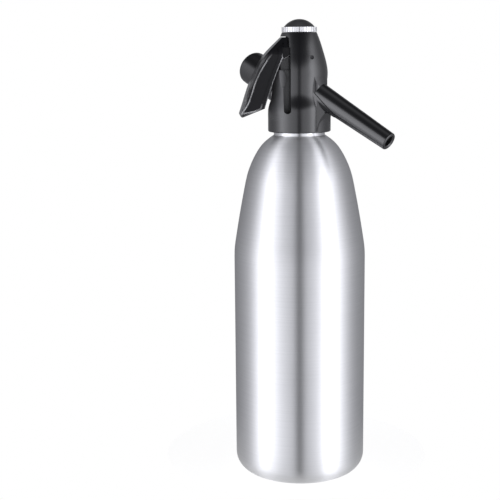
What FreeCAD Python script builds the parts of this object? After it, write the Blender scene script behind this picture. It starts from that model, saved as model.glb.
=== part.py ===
import FreeCAD, Part
import math
import os
from FreeCAD import Placement, Rotation, Vector

# Soda siphon: an aluminium bottle with a moulded head that carries a hand lever, a spout
# and the holder of an 8 g charger. Millimetres, +Z up, origin at the centre of the
# standing face. The lever hangs toward -X, the hinge pin lies along Y.

# --- bottle ---------------------------------------------------------------------------
bottle_diameter = 90.0
bottle_wall = 2.0
bottle_heel_radius = 12.5
bottle_side_height = 153.0
bottle_knee_rise = 10.2
bottle_knee_inset = 0.8
bottle_taper_rise = 31.1
bottle_taper_inset = 4.3
bottle_shoulder_rise = 51.9
bottle_shoulder_inset = 8.3
bottle_crown_rise = 68.3
bottle_crown_inset = 14.2
bottle_brow_rise = 77.9
bottle_brow_inset = 20.8
bottle_neck_rise = 83.3
neck_diameter = 34.6
neck_height = 11.7
neck_wall = 2.7

# --- head outline, heights above the skirt's lower edge -------------------------------
head_gap = 2.2
skirt_diameter = 42.4
skirt_height = 13.2
flare_diameter = 39.4
flare_height = 20.2
waist_diameter = 36.4
waist_height = 26.2
belly_diameter = 38.2
belly_height = 37.8
nose_diameter = 32.6
nose_height = 52.8
collar_diameter = 23.2
collar_height = 66.1
skirt_edge_radius = 0.9

# --- head fittings --------------------------------------------------------------------
gasket_thickness = 2.0
plug_length = 6.0
insert_wall = 2.2
opening_height = 41.3
collar_thickness = 2.8
seam_distance = 7.1
upper_seam_distance = 8.4
upper_seam_height = 56.2
slot_distance = 11.8
slot_foot_height = 12.8
slot_floor_distance = 10.6
ear_distance = 9.9
ear_top_distance = 12.4
ear_height = 34.8
ear_foot_height = 30.1
ear_width = 25.0
tower_diameter = 18.0
tower_drop = 5.2
spring_cup_diameter = 32.0
spring_cup_height = 50.0

# --- lever, distances from the hinge pin unless they say otherwise ---------------------
pin_offset = 7.0
pin_drop = 16.5
pin_diameter = 2.6
pin_recess = 2.6
lever_width = 30.0
lever_tip_width = 27.0
lever_top_width = 21.2
lever_wall = 2.2
lever_skirt_gap = 3.0
lever_depth = 17.3
lever_drop = 40.2
lever_rim_drop = 33.4
lever_rim_top = 19.3
lever_rim_bow = 0.6
lever_top_gap = 0.4
lever_lip_distance = 19.2
lever_crest_distance = 26.1
lever_crest_rise = 6.5
lever_shoulder_distance = 31.5
lever_shoulder_rise = 0.4
lever_hip_distance = 36.0
lever_hip_drop = 7.5
lever_knuckle_distance = 40.2
lever_knuckle_drop = 16.3
lever_corner_radius = 1.4
lever_edge_radius = 1.3
lever_foot_notch = 6.0
lever_panel_depth = 0.6
lever_panel_margin = 2.7
arm_gap = 19.2
arm_thickness = 2.0
arm_hub_radius = 4.0
cross_bar_diameter = 4.0
cross_bar_rise = 5.2

# --- cap ------------------------------------------------------------------------------
ring_diameter = 23.6
ring_height = 3.2
ring_rib_count = 40
ring_groove_depth = 0.5
dome_diameter = 20.8
dome_height = 5.25
cap_core_diameter = 18.2
cap_thread_diameter = 16.2
cap_thread_length = 5.4
cap_seal_thickness = 0.8

# --- valve ----------------------------------------------------------------------------
stem_diameter = 3.2
button_diameter = 8.4
button_height = 2.6
button_gap = 0.3
return_spring_wire = 0.7
return_spring_turns = 4.0
gland_diameter = 12.8
gland_height = 4.7
seal_section = 2.0
chamber_diameter = 11.0
seat_drop = 15.0
seat_thickness = 2.0
seat_bore_diameter = 5.6
washer_diameter = 8.0
washer_thickness = 2.2
valve_nut_diameter = 6.4
valve_nut_height = 3.2
valve_well_diameter = 8.8
valve_spring_wire = 0.5
valve_spring_turns = 4.0

# --- dip tubes ------------------------------------------------------------------------
riser_nut_shank = 7.0
riser_flange_diameter = 12.4
riser_flange_thickness = 3.0
riser_spigot_length = 5.0
riser_diameter = 6.2
riser_bore_diameter = 4.4
riser_foot_gap = 5.0
measuring_diameter = 11.2
measuring_wall = 0.7
measuring_length = 46.0

# --- spout ----------------------------------------------------------------------------
spout_turn = -40.0
spout_tilt = 28.6
spout_axis_height = 34.4
spout_length = 80.4
spout_root_diameter = 15.3
spout_tip_diameter = 11.9
spout_bore_diameter = 7.0
spout_socket_depth = 7.0
spout_tip_radius = 1.0
spout_lip_chamfer = 0.8
spigot_diameter = 11.0
spigot_length = 4.0
bracket_width = 16.2
bracket_nose_width = 8.0
bracket_reach = 2.0
bracket_rise = 12.9
pad_inset = 0.8
pad_left_reach = 8.1
pad_right_reach = 9.0
pad_left_radius = 4.5
pad_right_radius = 8.0
pad_height = 31.0
saddle_thickness = 0.9
saddle_length = 24.0
saddle_wrap = 3.0

# --- charger and its holder -----------------------------------------------------------
holder_turn = 125.0
holder_tilt = 22.3
holder_axis_height = 14.6
holder_offset = 11.5
charger_tip_distance = 5.1
charger_length = 65.5
charger_diameter = 18.0
charger_neck_diameter = 8.6
charger_neck_length = 8.0
charger_shoulder_length = 7.0
holder_wall = 1.9
holder_bottom = 2.5
holder_edge_radius = 3.4
boss_diameter = 24.0
boss_length = 23.4
boss_start = 9.0
holder_ring_thickness = 1.0
nipple_wall = 1.35
nipple_length = 9.0
piercing_pin_diameter = 5.4
piercing_pin_length = 6.4
piercing_point_length = 1.6
charger_seal_section = 1.2
gas_channel_diameter = 2.0
check_valve_diameter = 4.4
check_valve_length = 5.0
check_valve_distance = 10.0

# --- clearances -----------------------------------------------------------------------
seat_clearance = 0.1
running_clearance = 0.05
swing_clearance = 0.35
thread_clearance = 0.12

# --- heights and radii that follow from the sizes above -------------------------------
bottle_radius = bottle_diameter / 2
neck_radius = neck_diameter / 2
neck_foot_z = bottle_side_height + bottle_neck_rise
neck_top_z = neck_foot_z + neck_height
skirt_z = neck_foot_z + head_gap
roof_z = neck_top_z + gasket_thickness
plug_radius = neck_radius - neck_wall - 6 * seat_clearance
insert_radius = neck_radius + thread_clearance + insert_wall
collar_z = skirt_z + collar_height
opening_z = skirt_z + opening_height
opening_top_z = collar_z - collar_thickness
upper_seam_z = skirt_z + upper_seam_height
lever_top_z = opening_top_z - lever_top_gap
pin_z = collar_z - pin_drop
tower_z = pin_z - tower_drop
pin_radius = pin_diameter / 2
arm_half = arm_gap / 2
lever_half = lever_width / 2
stem_radius = stem_diameter / 2
bar_z = pin_z + cross_bar_rise
button_top_z = bar_z - cross_bar_diameter / 2 - button_gap
button_foot_z = button_top_z - button_height
gland_foot_z = tower_z - gland_height
seal_foot_z = gland_foot_z - seal_section - seat_clearance
seat_top_z = tower_z - seat_drop
seat_foot_z = seat_top_z - seat_thickness
washer_foot_z = seat_foot_z - running_clearance - washer_thickness
valve_nut_foot_z = washer_foot_z - valve_nut_height
plug_foot_z = roof_z - plug_length
riser_nut_top_z = plug_foot_z + riser_nut_shank
spout_axis_z = skirt_z + spout_axis_height
spout_root_distance = waist_diameter / 2 + 2 * running_clearance - spout_socket_depth + 2
holder_axis_z = skirt_z + holder_axis_height
charger_radius = charger_diameter / 2
charger_bore_radius = charger_radius + 4 * seat_clearance
nipple_radius = charger_bore_radius + nipple_wall
holder_radius = nipple_radius + thread_clearance + 0.5 * holder_wall
holder_mouth_distance = boss_length + holder_ring_thickness + seat_clearance
holder_end_distance = charger_tip_distance + charger_length + holder_bottom


def ring(outer, inner, z_from, z_to):
    """A plain ring or tube about Z."""
    body = Part.makeCylinder(outer, z_to - z_from, Vector(0, 0, z_from))
    hole = Part.makeCylinder(inner, z_to - z_from + 2, Vector(0, 0, z_from - 1))
    return body.cut(hole)


def disc(radius, z_from, z_to):
    """A solid cylinder about Z."""
    return Part.makeCylinder(radius, z_to - z_from, Vector(0, 0, z_from))


def revolved(edges):
    """The solid turned about Z from a closed outline in the XZ plane."""
    face = Part.Face(Part.Wire(Part.__sortEdges__(edges)))
    return face.revolve(Vector(0, 0, 0), Vector(0, 0, 1), 360)


def outline(points):
    """Straight edges through (radius, height) pairs, not closed."""
    corners = [Vector(r, 0, z) for r, z in points]
    return [Part.makeLine(a, b) for a, b in zip(corners, corners[1:])]


def turned(points):
    """The solid turned about Z from straight edges through closed (radius, height) pairs."""
    return revolved(outline(points + points[:1]))


def curve(points, start=None, end=None):
    """One smooth edge through points, with the tangents at its ends where they matter."""
    spline = Part.BSplineCurve()
    if start is None:
        spline.interpolate(Points=points)
    else:
        spline.interpolate(Points=points, InitialTangent=start, FinalTangent=end)
    return spline.toShape()


def set_in(edges, distance, last):
    """One smooth edge at a distance inside a row of edges in the XZ plane, ending at last."""
    inner = []
    for edge in edges:
        for step in range(5):
            place = edge.FirstParameter + (edge.LastParameter - edge.FirstParameter) * step / 5
            along = edge.tangentAt(place)
            inner.append(edge.valueAt(place) + Vector(-along.z, 0, along.x) * distance)
    return curve(inner + [last])


def slab(points, low, high):
    """A plate from low to high along Y with a straight-edged outline of (x, z) pairs."""
    corners = [Vector(x, low, z) for x, z in points]
    return Part.Face(Part.makePolygon(corners + corners[:1])).extrude(Vector(0, high - low, 0))


def torus(centre_radius, section, z_centre):
    """An O-ring about Z."""
    return Part.makeTorus(centre_radius, section / 2, Vector(0, 0, z_centre))


def coil(radius, wire, z_from, z_to, turns):
    """A round-wire compression spring about Z whose ends lie inside z_from and z_to."""
    rise = z_to - z_from - wire
    path = Part.makeLongHelix(rise / turns, rise, radius)
    path.translate(Vector(0, 0, z_from + wire / 2))
    start = Vector(radius, 0, z_from + wire / 2)
    section = Part.Wire(Part.makeCircle(wire / 2, start, Vector(0, 1, 0)))
    return Part.Wire(path.Edges).makePipeShell([section], True, True)


def on_spout_axis(shape):
    """Moves a shape built along +Z onto the spout's axis, its +X side to the underside."""
    turn = math.radians(spout_turn)
    tilt = math.radians(spout_tilt)
    way = Vector(math.cos(turn) * math.cos(tilt), math.sin(turn) * math.cos(tilt), -math.sin(tilt))
    aim = Rotation(Vector(0, 0, 1), way).multiply(Rotation(Vector(0, 0, 1), spout_turn))
    shape.Placement = Placement(Vector(0, 0, spout_axis_z), aim)
    return shape


def on_holder_axis(shape):
    """Moves a shape built along +Z from the origin onto the charger's axis."""
    turn = math.radians(holder_turn)
    tilt = math.radians(holder_tilt)
    way = Vector(math.cos(turn) * math.cos(tilt), math.sin(turn) * math.cos(tilt), math.sin(tilt))
    aside = Vector(math.sin(turn), -math.cos(turn), 0) * holder_offset
    foot = aside + Vector(0, 0, holder_axis_z)
    shape.Placement = Placement(foot, Rotation(Vector(0, 0, 1), way))
    return shape


# --- bottle ---------------------------------------------------------------------------

def shoulder_edges():
    """The bullet-shaped shoulder outside: knee, long taper and crown up to the neck."""
    base = bottle_side_height
    foot = Vector(bottle_radius, 0, base)
    knee = Vector(bottle_radius - bottle_knee_inset, 0, base + bottle_knee_rise)
    middle = Vector(bottle_radius - bottle_taper_inset, 0, base + bottle_taper_rise)
    top = Vector(bottle_radius - bottle_shoulder_inset, 0, base + bottle_shoulder_rise)
    taper = Part.Arc(knee, middle, top).toShape()
    crown = [
        top,
        Vector(bottle_radius - bottle_crown_inset, 0, base + bottle_crown_rise),
        Vector(bottle_radius - bottle_brow_inset, 0, base + bottle_brow_rise),
        Vector(neck_radius, 0, neck_foot_z),
    ]
    taper_start = taper.tangentAt(taper.FirstParameter)
    taper_end = taper.tangentAt(taper.LastParameter)
    return [
        curve([foot, knee], Vector(0, 0, 1), taper_start),
        taper,
        curve(crown, taper_end, Vector(-1, 0, 0.7)),
    ]


def bottle_outline(inset):
    """Edges from the axis at the floor up to the neck, set in by a wall."""
    radius = bottle_radius - inset
    heel = bottle_heel_radius - inset
    edge = bottle_radius - bottle_heel_radius
    centre = Vector(0, 0, inset)
    foot = Vector(edge, 0, inset)
    bend = math.pi / 4
    heel_mid = Vector(edge + heel * math.sin(bend), 0, inset + heel * (1 - math.cos(bend)))
    heel_end = Vector(radius, 0, bottle_heel_radius)
    shoulder = shoulder_edges()
    if inset > 0:
        shoulder = [set_in(shoulder, inset, Vector(neck_radius - neck_wall, 0, neck_foot_z))]
    side_end = shoulder[0].valueAt(shoulder[0].FirstParameter)
    return [
        Part.makeLine(centre, foot),
        Part.Arc(foot, heel_mid, heel_end).toShape(),
        Part.makeLine(heel_end, side_end),
    ] + shoulder


def bottle():
    """Drawn aluminium shell with a flat floor and a plain band for the head's thread."""
    bore = neck_radius - neck_wall
    above = neck_top_z + 1
    outer = bottle_outline(0)
    outer += outline([(neck_radius, neck_foot_z), (neck_radius, neck_top_z)])
    outer += outline([(neck_radius, neck_top_z), (0, neck_top_z), (0, 0)])
    inner = bottle_outline(bottle_wall)
    inner += outline([(bore, neck_foot_z), (bore, above), (0, above), (0, bottle_wall)])
    body = revolved(outer).cut(revolved(inner))
    groove = ring(neck_radius + 1, neck_radius - 0.7, skirt_z + 0.8, skirt_z + 2.0)
    return body.cut(groove)


# --- head -----------------------------------------------------------------------------

def head_skin():
    """The head's outer form turned about Z: skirt, flare, waist, belly, nose and collar."""
    skirt = skirt_diameter / 2
    edge = skirt_edge_radius
    corner = Vector(skirt - edge * 0.3, 0, skirt_z + edge * 0.3)
    side = curve(
        [
            Vector(skirt, 0, skirt_z + skirt_height),
            Vector(flare_diameter / 2, 0, skirt_z + flare_height),
            Vector(waist_diameter / 2, 0, skirt_z + waist_height),
            Vector(belly_diameter / 2, 0, skirt_z + belly_height),
            Vector(nose_diameter / 2, 0, skirt_z + nose_height),
            Vector(collar_diameter / 2, 0, collar_z),
        ],
        Vector(0, 0, 1),
        Vector(-0.42, 0, 0.91),
    )
    edges = [
        Part.Arc(Vector(skirt - edge, 0, skirt_z), corner, Vector(skirt, 0, skirt_z + edge)).toShape(),
        Part.makeLine(Vector(skirt, 0, skirt_z + edge), Vector(skirt, 0, skirt_z + skirt_height)),
        side,
        Part.makeLine(Vector(collar_diameter / 2, 0, collar_z), Vector(0, 0, collar_z)),
        Part.makeLine(Vector(0, 0, collar_z), Vector(0, 0, skirt_z)),
        Part.makeLine(Vector(0, 0, skirt_z), Vector(skirt - edge, 0, skirt_z)),
    ]
    return revolved(edges)


def lever_opening():
    """What the head leaves open at the back for the lever, down to the top of its rear wall."""
    far = skirt_diameter
    lower = [(-seam_distance, opening_z), (-seam_distance, upper_seam_z)]
    upper = [(-upper_seam_distance, upper_seam_z), (-upper_seam_distance, opening_top_z)]
    points = lower + upper + [(-far, opening_top_z), (-far, opening_z)]
    return slab(points, -far, far)


def arm_swing_space():
    """The pocket inside the head in which the lever's arms and cross bar swing."""
    half = arm_half + arm_thickness + swing_clearance
    hub = arm_hub_radius + 2 * swing_clearance
    bar = cross_bar_diameter / 2 + 2 * swing_clearance
    front = -upper_seam_distance - 1
    points = [
        (pin_offset, pin_z - hub),
        (pin_offset, pin_z + hub),
        (bar, bar_z + bar),
        (front, bar_z + bar + 1.6),
        (front, opening_z + 0.4),
    ]
    space = slab(points, -half, half)
    turn = Part.makeCylinder(hub, 2 * half, Vector(pin_offset, -half, pin_z), Vector(0, 1, 0))
    return space.fuse(turn)


def side_slots():
    """The upright slot in each side of the head, with a rounded ear behind its top."""
    foot_z = skirt_z + slot_foot_height
    radius = (slot_distance - seam_distance) / 2
    far = skirt_diameter
    ear_foot_z = skirt_z + ear_foot_height
    ear_tip = Vector(-ear_distance, -far, skirt_z + ear_height)
    ear_top = Vector(-ear_top_distance, -far, opening_z)
    ear_foot = Vector(-slot_distance, -far, ear_foot_z)
    ear = Part.Arc(ear_top, ear_tip, ear_foot)
    corners = [
        (-slot_distance, ear_foot_z),
        (-slot_distance, foot_z + radius),
        (-seam_distance, foot_z + radius),
        (-seam_distance, opening_z + 1),
        (-ear_top_distance, opening_z + 1),
        (-ear_top_distance, opening_z),
    ]
    sides = Part.makePolygon([Vector(x, -far, z) for x, z in corners]).Edges
    cut = Part.Face(Part.Wire([ear.toShape()] + sides)).extrude(Vector(0, 2 * far, 0))
    middle = Vector(-seam_distance - radius, -far, foot_z + radius)
    foot = Part.makeCylinder(radius, 2 * far, middle, Vector(0, 1, 0))
    core = Part.makeBox(far, 2 * slot_floor_distance, far * 2, Vector(-far, -slot_floor_distance, skirt_z))
    return cut.fuse(foot).cut(core)


def rear_wall_flats():
    """The flats at the top of the rear wall that let the lever's sides pass."""
    far = skirt_diameter
    low = skirt_z + ear_foot_height
    high = opening_z - low + 1
    near = Part.makeBox(far, far, high, Vector(-far - seam_distance, -far - ear_width / 2, low))
    other = Part.makeBox(far, far, high, Vector(-far - seam_distance, ear_width / 2, low))
    return near.fuse(other)


def spout_cone(extra):
    """The spout's tapered outside along +Z from its root, grown by extra."""
    length = spout_length - spout_root_distance
    root = spout_root_diameter / 2 + extra
    tip = spout_tip_diameter / 2 + extra
    return Part.makeCone(root, tip, length, Vector(0, 0, spout_root_distance))


def spout_bracket():
    """The web under the spout: concave below, narrowing from the skirt to its nose."""
    half = bracket_width / 2
    nose = bracket_nose_width / 2
    slope = math.tan(math.radians(spout_tilt))
    start = skirt_diameter / 2 - 7
    side = math.sqrt((skirt_diameter / 2) ** 2 - half ** 2)
    reach = skirt_diameter / 2 + bracket_reach
    low = skirt_z + skirt_edge_radius
    high = skirt_z + bracket_rise
    top = spout_axis_z - start * slope
    end = spout_axis_z - reach * slope
    middle = Vector(side + (reach - side) * 0.3, -half, low + (high - low) * 0.54)
    hollow = Part.Arc(Vector(side, -half, low), middle, Vector(reach, -half, high)).toShape()
    corners = [(reach, high), (reach, end), (start, top), (start, low), (side, low)]
    edges = Part.makePolygon([Vector(x, -half, z) for x, z in corners]).Edges
    web = Part.Face(Part.Wire([hollow] + edges)).extrude(Vector(0, bracket_width, 0))
    plan = [(start, -half), (side, -half), (reach, -nose), (reach, nose), (side, half), (start, half)]
    plan = [Vector(x, y, 0) for x, y in plan]
    web = web.common(Part.Face(Part.makePolygon(plan + plan[:1])).extrude(Vector(0, 0, 2 * top)))
    web.rotate(Vector(0, 0, 0), Vector(0, 0, 1), spout_turn)
    return web


def spout_pad():
    """The rounded pad behind the bracket and the spout's root, standing on the skirt."""
    reach = skirt_diameter / 2 - pad_inset
    low = skirt_z + skirt_height / 2
    high = skirt_z + pad_height
    top = skirt_z + belly_height
    fade = belly_diameter / 2 - 2 * seat_clearance
    width = pad_left_reach + pad_right_reach
    block = Part.makeBox(reach, width, top - low, Vector(reach / 3, -pad_left_reach, low))
    form = turned([(0, low), (reach, low), (reach, high), (fade, top), (0, top)])
    block = block.common(form)
    for side, radius in ((-pad_left_reach, pad_left_radius), (pad_right_reach, pad_right_radius)):
        upright = []
        for edge in block.Edges:
            box = edge.BoundBox
            at_side = abs(box.YMin - side) < 0.01 and abs(box.YMax - side) < 0.01
            if at_side and box.XLength < 0.01 and box.XMin > reach / 2:
                upright.append(edge)
        block = block.makeFillet(radius, upright)
    block.rotate(Vector(0, 0, 0), Vector(0, 0, 1), spout_turn)
    return block


def spout_saddle():
    """The lip that carries the underside of the spout beyond the bracket."""
    start = spout_root_distance
    end = start + saddle_length
    taper = (spout_root_diameter - spout_tip_diameter) / 2 / (spout_length - start)
    root = spout_root_diameter / 2 + saddle_thickness
    tip = spout_root_diameter / 2 - taper * saddle_length + 2.5 * seat_clearance
    lip = Part.makeCone(root, tip, saddle_length, Vector(0, 0, start))
    below = slab([(-saddle_wrap, start), (root, start), (root, end), (tip * 0.5, end)], -root, root)
    return on_spout_axis(lip.common(below))


def valve_tower():
    """The tower for the stem's gland with the flat-sided cup round the return spring."""
    half = tower_diameter / 2
    top = skirt_z + spring_cup_height
    cup = disc(spring_cup_diameter / 2, opening_z - 3, top)
    sides = Part.makeBox(2 * skirt_diameter, tower_diameter, top, Vector(-skirt_diameter, -half, 0))
    return cup.common(sides).cut(disc(gland_diameter / 2 + seat_clearance, tower_z, top + 1))


def hinge_bore():
    """The cross bore that the hinge pin runs in, through head and lever alike."""
    far = skirt_diameter
    start = Vector(pin_offset, -far, pin_z)
    return Part.makeCylinder(pin_radius + running_clearance, 2 * far, start, Vector(0, 1, 0))


def head_passages():
    """Bores inside the head: cap thread, gland, chambers, spout, charger, gas and pin."""
    cap_bore = disc(cap_thread_diameter / 2 + seat_clearance, pin_z, collar_z + 1)
    cap_seat = disc(cap_core_diameter / 2 + 0.7, collar_z - cap_seal_thickness, collar_z + 1)
    gland = disc(gland_diameter / 2 + seat_clearance, gland_foot_z, tower_z + 1)
    packing = disc(stem_radius + seal_section + seat_clearance, seal_foot_z, gland_foot_z + 1)
    chamber = disc(chamber_diameter / 2, seat_top_z, seal_foot_z + 0.01)
    seat = disc(seat_bore_diameter / 2, seat_foot_z - 1, seat_top_z + 1)
    well = disc(valve_well_diameter / 2, plug_foot_z - 1, seat_foot_z)
    bores = cap_bore.fuse([cap_seat, gland, packing, chamber, seat, well])
    root = spout_root_distance
    water = Part.makeCylinder(spout_bore_diameter / 2, spout_length, Vector(0, 0, 0))
    spigot_depth = spigot_length + seat_clearance
    spigot_foot = Vector(0, 0, root - spigot_depth)
    spigot_hole = Part.makeCylinder(spigot_diameter / 2 + seat_clearance, spigot_depth, spigot_foot)
    socket = spout_cone(seat_clearance)
    bores = bores.fuse([on_spout_axis(water), on_spout_axis(spigot_hole), on_spout_axis(socket)])
    neck_end = charger_tip_distance + charger_neck_length
    neck_bore_radius = charger_neck_diameter / 2 + 3 * seat_clearance
    neck_foot = Vector(0, 0, charger_tip_distance - seat_clearance)
    neck_bore = Part.makeCylinder(neck_bore_radius, neck_end, neck_foot)
    body_bore = Part.makeCylinder(charger_bore_radius, holder_end_distance, Vector(0, 0, neck_end))
    pin_bore_radius = piercing_pin_diameter / 2 + running_clearance
    pin_foot = Vector(0, 0, charger_tip_distance - piercing_pin_length)
    pin_bore = Part.makeCylinder(pin_bore_radius, piercing_pin_length, pin_foot)
    bores = bores.fuse([on_holder_axis(neck_bore), on_holder_axis(body_bore), on_holder_axis(pin_bore)])
    turn = math.radians(holder_turn)
    side = Vector(math.sin(turn), -math.cos(turn), 0) * check_valve_distance
    gas_foot = side + Vector(0, 0, plug_foot_z - 1)
    gas = Part.makeCylinder(gas_channel_diameter / 2, holder_axis_z - plug_foot_z, gas_foot)
    valve_hole_radius = check_valve_diameter / 2 + running_clearance
    valve_hole = Part.makeCylinder(valve_hole_radius, check_valve_length + 1, gas_foot)
    return bores.fuse([gas, valve_hole, hinge_bore()])


def neck_cavity():
    """The hollow of the skirt round the bottle's neck, with the plug that dips into it."""
    insert_top = neck_top_z + seat_clearance
    points = [
        (0, skirt_z - 1),
        (insert_radius, skirt_z - 1),
        (insert_radius, insert_top),
        (neck_radius + thread_clearance, insert_top),
        (neck_radius + thread_clearance, roof_z),
        (plug_radius, roof_z),
        (plug_radius, plug_foot_z),
        (0, plug_foot_z),
    ]
    return turned(points)


def holder_boss():
    """The boss for the charger and the threaded nipple that the holder screws onto."""
    start = Vector(0, 0, boss_start)
    boss = Part.makeCylinder(boss_diameter / 2, boss_length - boss_start, start)
    nipple = Part.makeCylinder(nipple_radius, boss_length + nipple_length - boss_start, start)
    back = Part.makeSphere(boss_diameter / 2, start)
    return on_holder_axis(boss.fuse([nipple, back]))


def head_body():
    """The moulded head: outer form, openings, valve tower, bracket, boss and bores."""
    skin = head_skin()
    body = skin.cut(lever_opening().fuse([arm_swing_space(), side_slots(), rear_wall_flats()]))
    body = body.fuse([valve_tower(), spout_pad(), spout_bracket(), spout_saddle(), holder_boss()])
    return body.cut(head_passages().fuse(neck_cavity())).removeSplitter()


def neck_insert():
    """Metal ring moulded into the skirt that screws onto the bottle's neck."""
    inner = neck_radius + thread_clearance
    return ring(insert_radius, inner, skirt_z + 1.0, neck_top_z)


def head_gasket():
    """Flat seal between the bottle's lip and the head."""
    return ring(neck_radius, plug_radius + seat_clearance, neck_top_z, roof_z)


# --- lever ----------------------------------------------------------------------------

def lever_back():
    """The lever's back in side view, from the lip under the collar down to the foot."""
    foot = Vector(-skirt_diameter / 2 - lever_skirt_gap - lever_depth, 0, pin_z - lever_drop)
    knuckle = Vector(pin_offset - lever_knuckle_distance, 0, pin_z - lever_knuckle_drop)
    points = [
        Vector(pin_offset - lever_lip_distance, 0, lever_top_z),
        Vector(pin_offset - lever_crest_distance, 0, pin_z + lever_crest_rise),
        Vector(pin_offset - lever_shoulder_distance, 0, pin_z + lever_shoulder_rise),
        Vector(pin_offset - lever_hip_distance, 0, pin_z - lever_hip_drop),
        knuckle,
        (knuckle + foot) * 0.5,
        foot,
    ]
    return curve(points)


def foot_corner(back, rim_foot):
    """The back cut short and the arc that rounds the foot's corner onto the bottom line."""
    foot = back.valueAt(back.LastParameter)
    up = back.tangentAt(back.LastParameter) * -1
    along = (rim_foot - foot).normalize()
    half_angle = up.getAngle(along) / 2
    cut = lever_corner_radius / math.tan(half_angle)
    depth = lever_corner_radius / math.sin(half_angle) - lever_corner_radius
    start = back.Curve.value(back.Curve.parameter(foot + up * cut))
    short = Part.Edge(back.Curve, back.FirstParameter, back.Curve.parameter(start))
    end = foot + along * cut
    middle = foot + (up + along).normalize() * depth
    return [short, Part.Arc(start, middle, end).toShape()], end


def lever_side(inset, reach):
    """The lever's side view set in by inset, its rim and front moved forward by reach."""
    back = lever_back()
    rim_foot = Vector(-skirt_diameter / 2 - lever_skirt_gap, 0, pin_z - lever_rim_drop)
    rim_top = Vector(pin_offset - lever_rim_top, 0, pin_z)
    foot = back.valueAt(back.LastParameter)
    along = (rim_foot - foot).normalize()
    rise = Vector(-along.z, 0, along.x) * inset
    if inset > 0:
        foot = foot + rise + along * inset
        backs = [set_in([back], inset, foot)]
    else:
        backs, foot = foot_corner(back, rim_foot)
    top = backs[0].valueAt(backs[0].FirstParameter)
    ahead = Vector(reach if reach > 0 else -inset, 0, 0)
    rim_foot = rim_foot + rise + ahead
    rim_top = rim_top + ahead
    rim_middle = (rim_foot + rim_top) * 0.5 + Vector(-lever_rim_bow, 0, 0)
    front_x = ahead.x - upper_seam_distance - swing_clearance
    step_z = upper_seam_z + inset
    front = [
        rim_top,
        Vector(rim_top.x, 0, step_z),
        Vector(front_x, 0, step_z),
        Vector(front_x, 0, top.z),
        top,
    ]
    edges = [Part.makeLine(foot, rim_foot), Part.Arc(rim_foot, rim_middle, rim_top).toShape()]
    edges += Part.makePolygon(front).Edges
    return Part.Face(Part.Wire(backs + edges))


def lever_front(inset):
    """The lever's front view as a block through X, set in from its sides by inset."""
    half = lever_half - inset
    top = lever_top_width / 2 - inset
    tip = lever_tip_width / 2 - inset
    far = 2 * skirt_diameter
    high = lever_top_z + 0.4
    middle = (pin_z + 2 * high) / 3
    full = pin_z + 2
    low = pin_z - lever_drop * 0.72
    foot = pin_z - lever_drop - 4
    brow = half - (half - top) * 0.45
    corners = [(half, full), (half, low), (tip, foot), (-tip, foot), (-half, low), (-half, full)]
    sides = Part.makePolygon([Vector(-far, y, z) for y, z in corners]).Edges
    right = curve([Vector(-far, top, high), Vector(-far, brow, middle), Vector(-far, half, full)])
    left = curve([Vector(-far, -half, full), Vector(-far, -brow, middle), Vector(-far, -top, high)])
    lid = Part.makeLine(Vector(-far, -top, high), Vector(-far, top, high))
    face = Part.Face(Part.Wire([right] + sides + [left, lid]))
    return face.extrude(Vector(2 * far, 0, 0))


def lever_block(inset, reach):
    """The solid whose side view and front view are the lever's, set in by inset."""
    face = lever_side(inset, reach)
    face.translate(Vector(0, -lever_width, 0))
    return face.extrude(Vector(0, 2 * lever_width, 0)).common(lever_front(inset))


def lever_panels():
    """The shallow sunk panels in both sides, a rim's width inside the side's outline."""
    inside = lever_side(lever_panel_margin, lever_depth)
    behind = lever_side(0, 0)
    inside.translate(Vector(0, -lever_width, 0))
    behind.translate(Vector(-lever_panel_margin, -lever_width, 0))
    inside = inside.extrude(Vector(0, 2 * lever_width, 0))
    behind = behind.extrude(Vector(0, 2 * lever_width, 0))
    return inside.common(behind).cut(lever_front(lever_panel_depth))


def lever_shell():
    """The hollow handle: rounded back, sides with sunk panels, open toward the head."""
    block = lever_block(0, 0)
    back = lever_back()
    long_edges = []
    for edge in block.Edges:
        middle = edge.valueAt((edge.FirstParameter + edge.LastParameter) / 2)
        seen = Part.Vertex(Vector(middle.x, 0, middle.z))
        if back.distToShape(seen)[0] > 0.05:
            continue
        if abs(middle.y) > lever_top_width / 2 - 1 and middle.z < lever_top_z - 1:
            long_edges.append(edge)
    block = block.makeFillet(lever_edge_radius, long_edges)
    hollow = lever_block(lever_wall, lever_depth)
    notch_top = pin_z - lever_rim_drop + 2 * lever_wall
    notch = disc(skirt_diameter / 2 + lever_skirt_gap + lever_foot_notch, 0, notch_top)
    notch = notch.common(lever_front(lever_wall))
    return block.cut(hollow).cut(lever_panels()).cut(notch)


def lever_arms():
    """The two flat arms from the lever's sides to the hinge pin."""
    outer = arm_half + arm_thickness
    front = -upper_seam_distance - swing_clearance
    back = pin_offset - lever_rim_top
    foot = pin_z - 0.6
    head = bar_z + arm_hub_radius * 0.8
    points = [
        (pin_offset, pin_z - arm_hub_radius),
        (pin_offset, pin_z + arm_hub_radius),
        (front, head),
        (back - 1, head),
        (back - 1, foot),
        (back + 2, foot),
        (-seam_distance, foot + 2),
    ]
    arms = slab(points, -outer, outer)
    hub = Part.makeCylinder(arm_hub_radius, 2 * outer, Vector(pin_offset, -outer, pin_z), Vector(0, 1, 0))
    shoulder = [(back - 2, foot), (back, foot), (back, head), (back - 2, head)]
    shoulders = slab(shoulder, -lever_half, lever_half).common(lever_front(lever_wall * 0.4))
    far = 2 * skirt_diameter
    between = slab([(far, 0), (-far, 0), (-far, 2 * pin_z), (far, 2 * pin_z)], -arm_half, arm_half)
    return arms.fuse([hub, shoulders]).cut(between)


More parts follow.
